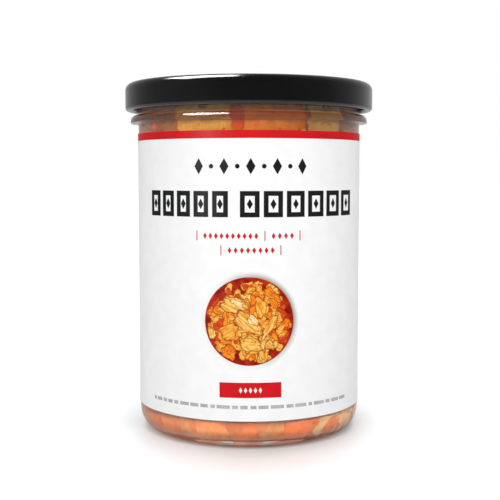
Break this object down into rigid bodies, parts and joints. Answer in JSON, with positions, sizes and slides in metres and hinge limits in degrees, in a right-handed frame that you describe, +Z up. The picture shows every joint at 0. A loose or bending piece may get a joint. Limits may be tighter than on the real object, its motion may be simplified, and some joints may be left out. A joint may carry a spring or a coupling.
{
  "type": "kimchi jar",
  "caption": "Shut round glass jar of chopped cabbage kimchi, with a black twist-off metal lid and a white wrap-round paper label.",
  "frame": {"origin": "centre of the ring that the jar stands on, at the jar's lowest height", "axes": "+Z up along the jar's axis, -Y towards the middle of the label's front, +X to the right seen from the front"},
  "size_m": [0.086, 0.086, 0.1196],
  "materials": {
    "glass": "clear polished glass",
    "lid_lacquer": "satin black lacquer on tinplate",
    "label_paper": "coated white paper, semi-gloss",
    "kimchi": "wet fermented cabbage in orange-red brine"
  },
  "bodies": {
    "root": {"glass_jar": "glass", "twist_lid": "lid_lacquer", "wrap_label": "label_paper", "kimchi": "kimchi"}
  },
  "joints": []
}
